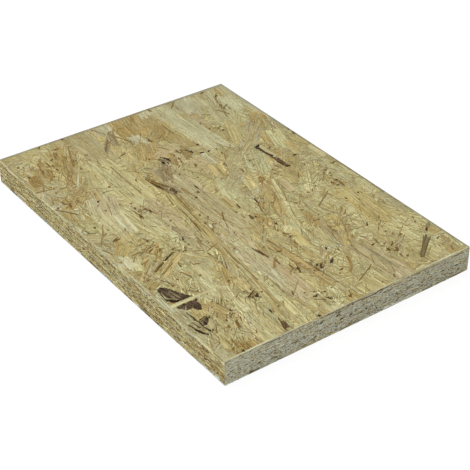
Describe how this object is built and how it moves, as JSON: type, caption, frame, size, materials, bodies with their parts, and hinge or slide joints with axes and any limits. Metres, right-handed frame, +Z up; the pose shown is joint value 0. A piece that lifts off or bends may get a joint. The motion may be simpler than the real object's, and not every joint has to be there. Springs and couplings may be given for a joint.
{
  "type": "oriented strand board panel",
  "caption": "Small flat rectangular panel of oriented strand board with square sawn edges, pressed strands on both faces and a few gaps where face strands have come away.",
  "frame": {"origin": "centre of the underside", "axes": "+X along the long side, +Y across, +Z up out of the top face"},
  "size_m": [0.297, 0.21, 0.02],
  "materials": {
    "osb": "pressed softwood strands in resin, dull, with sawn edges"
  },
  "bodies": {
    "root": {"osb_panel": "osb"}
  },
  "joints": []
}
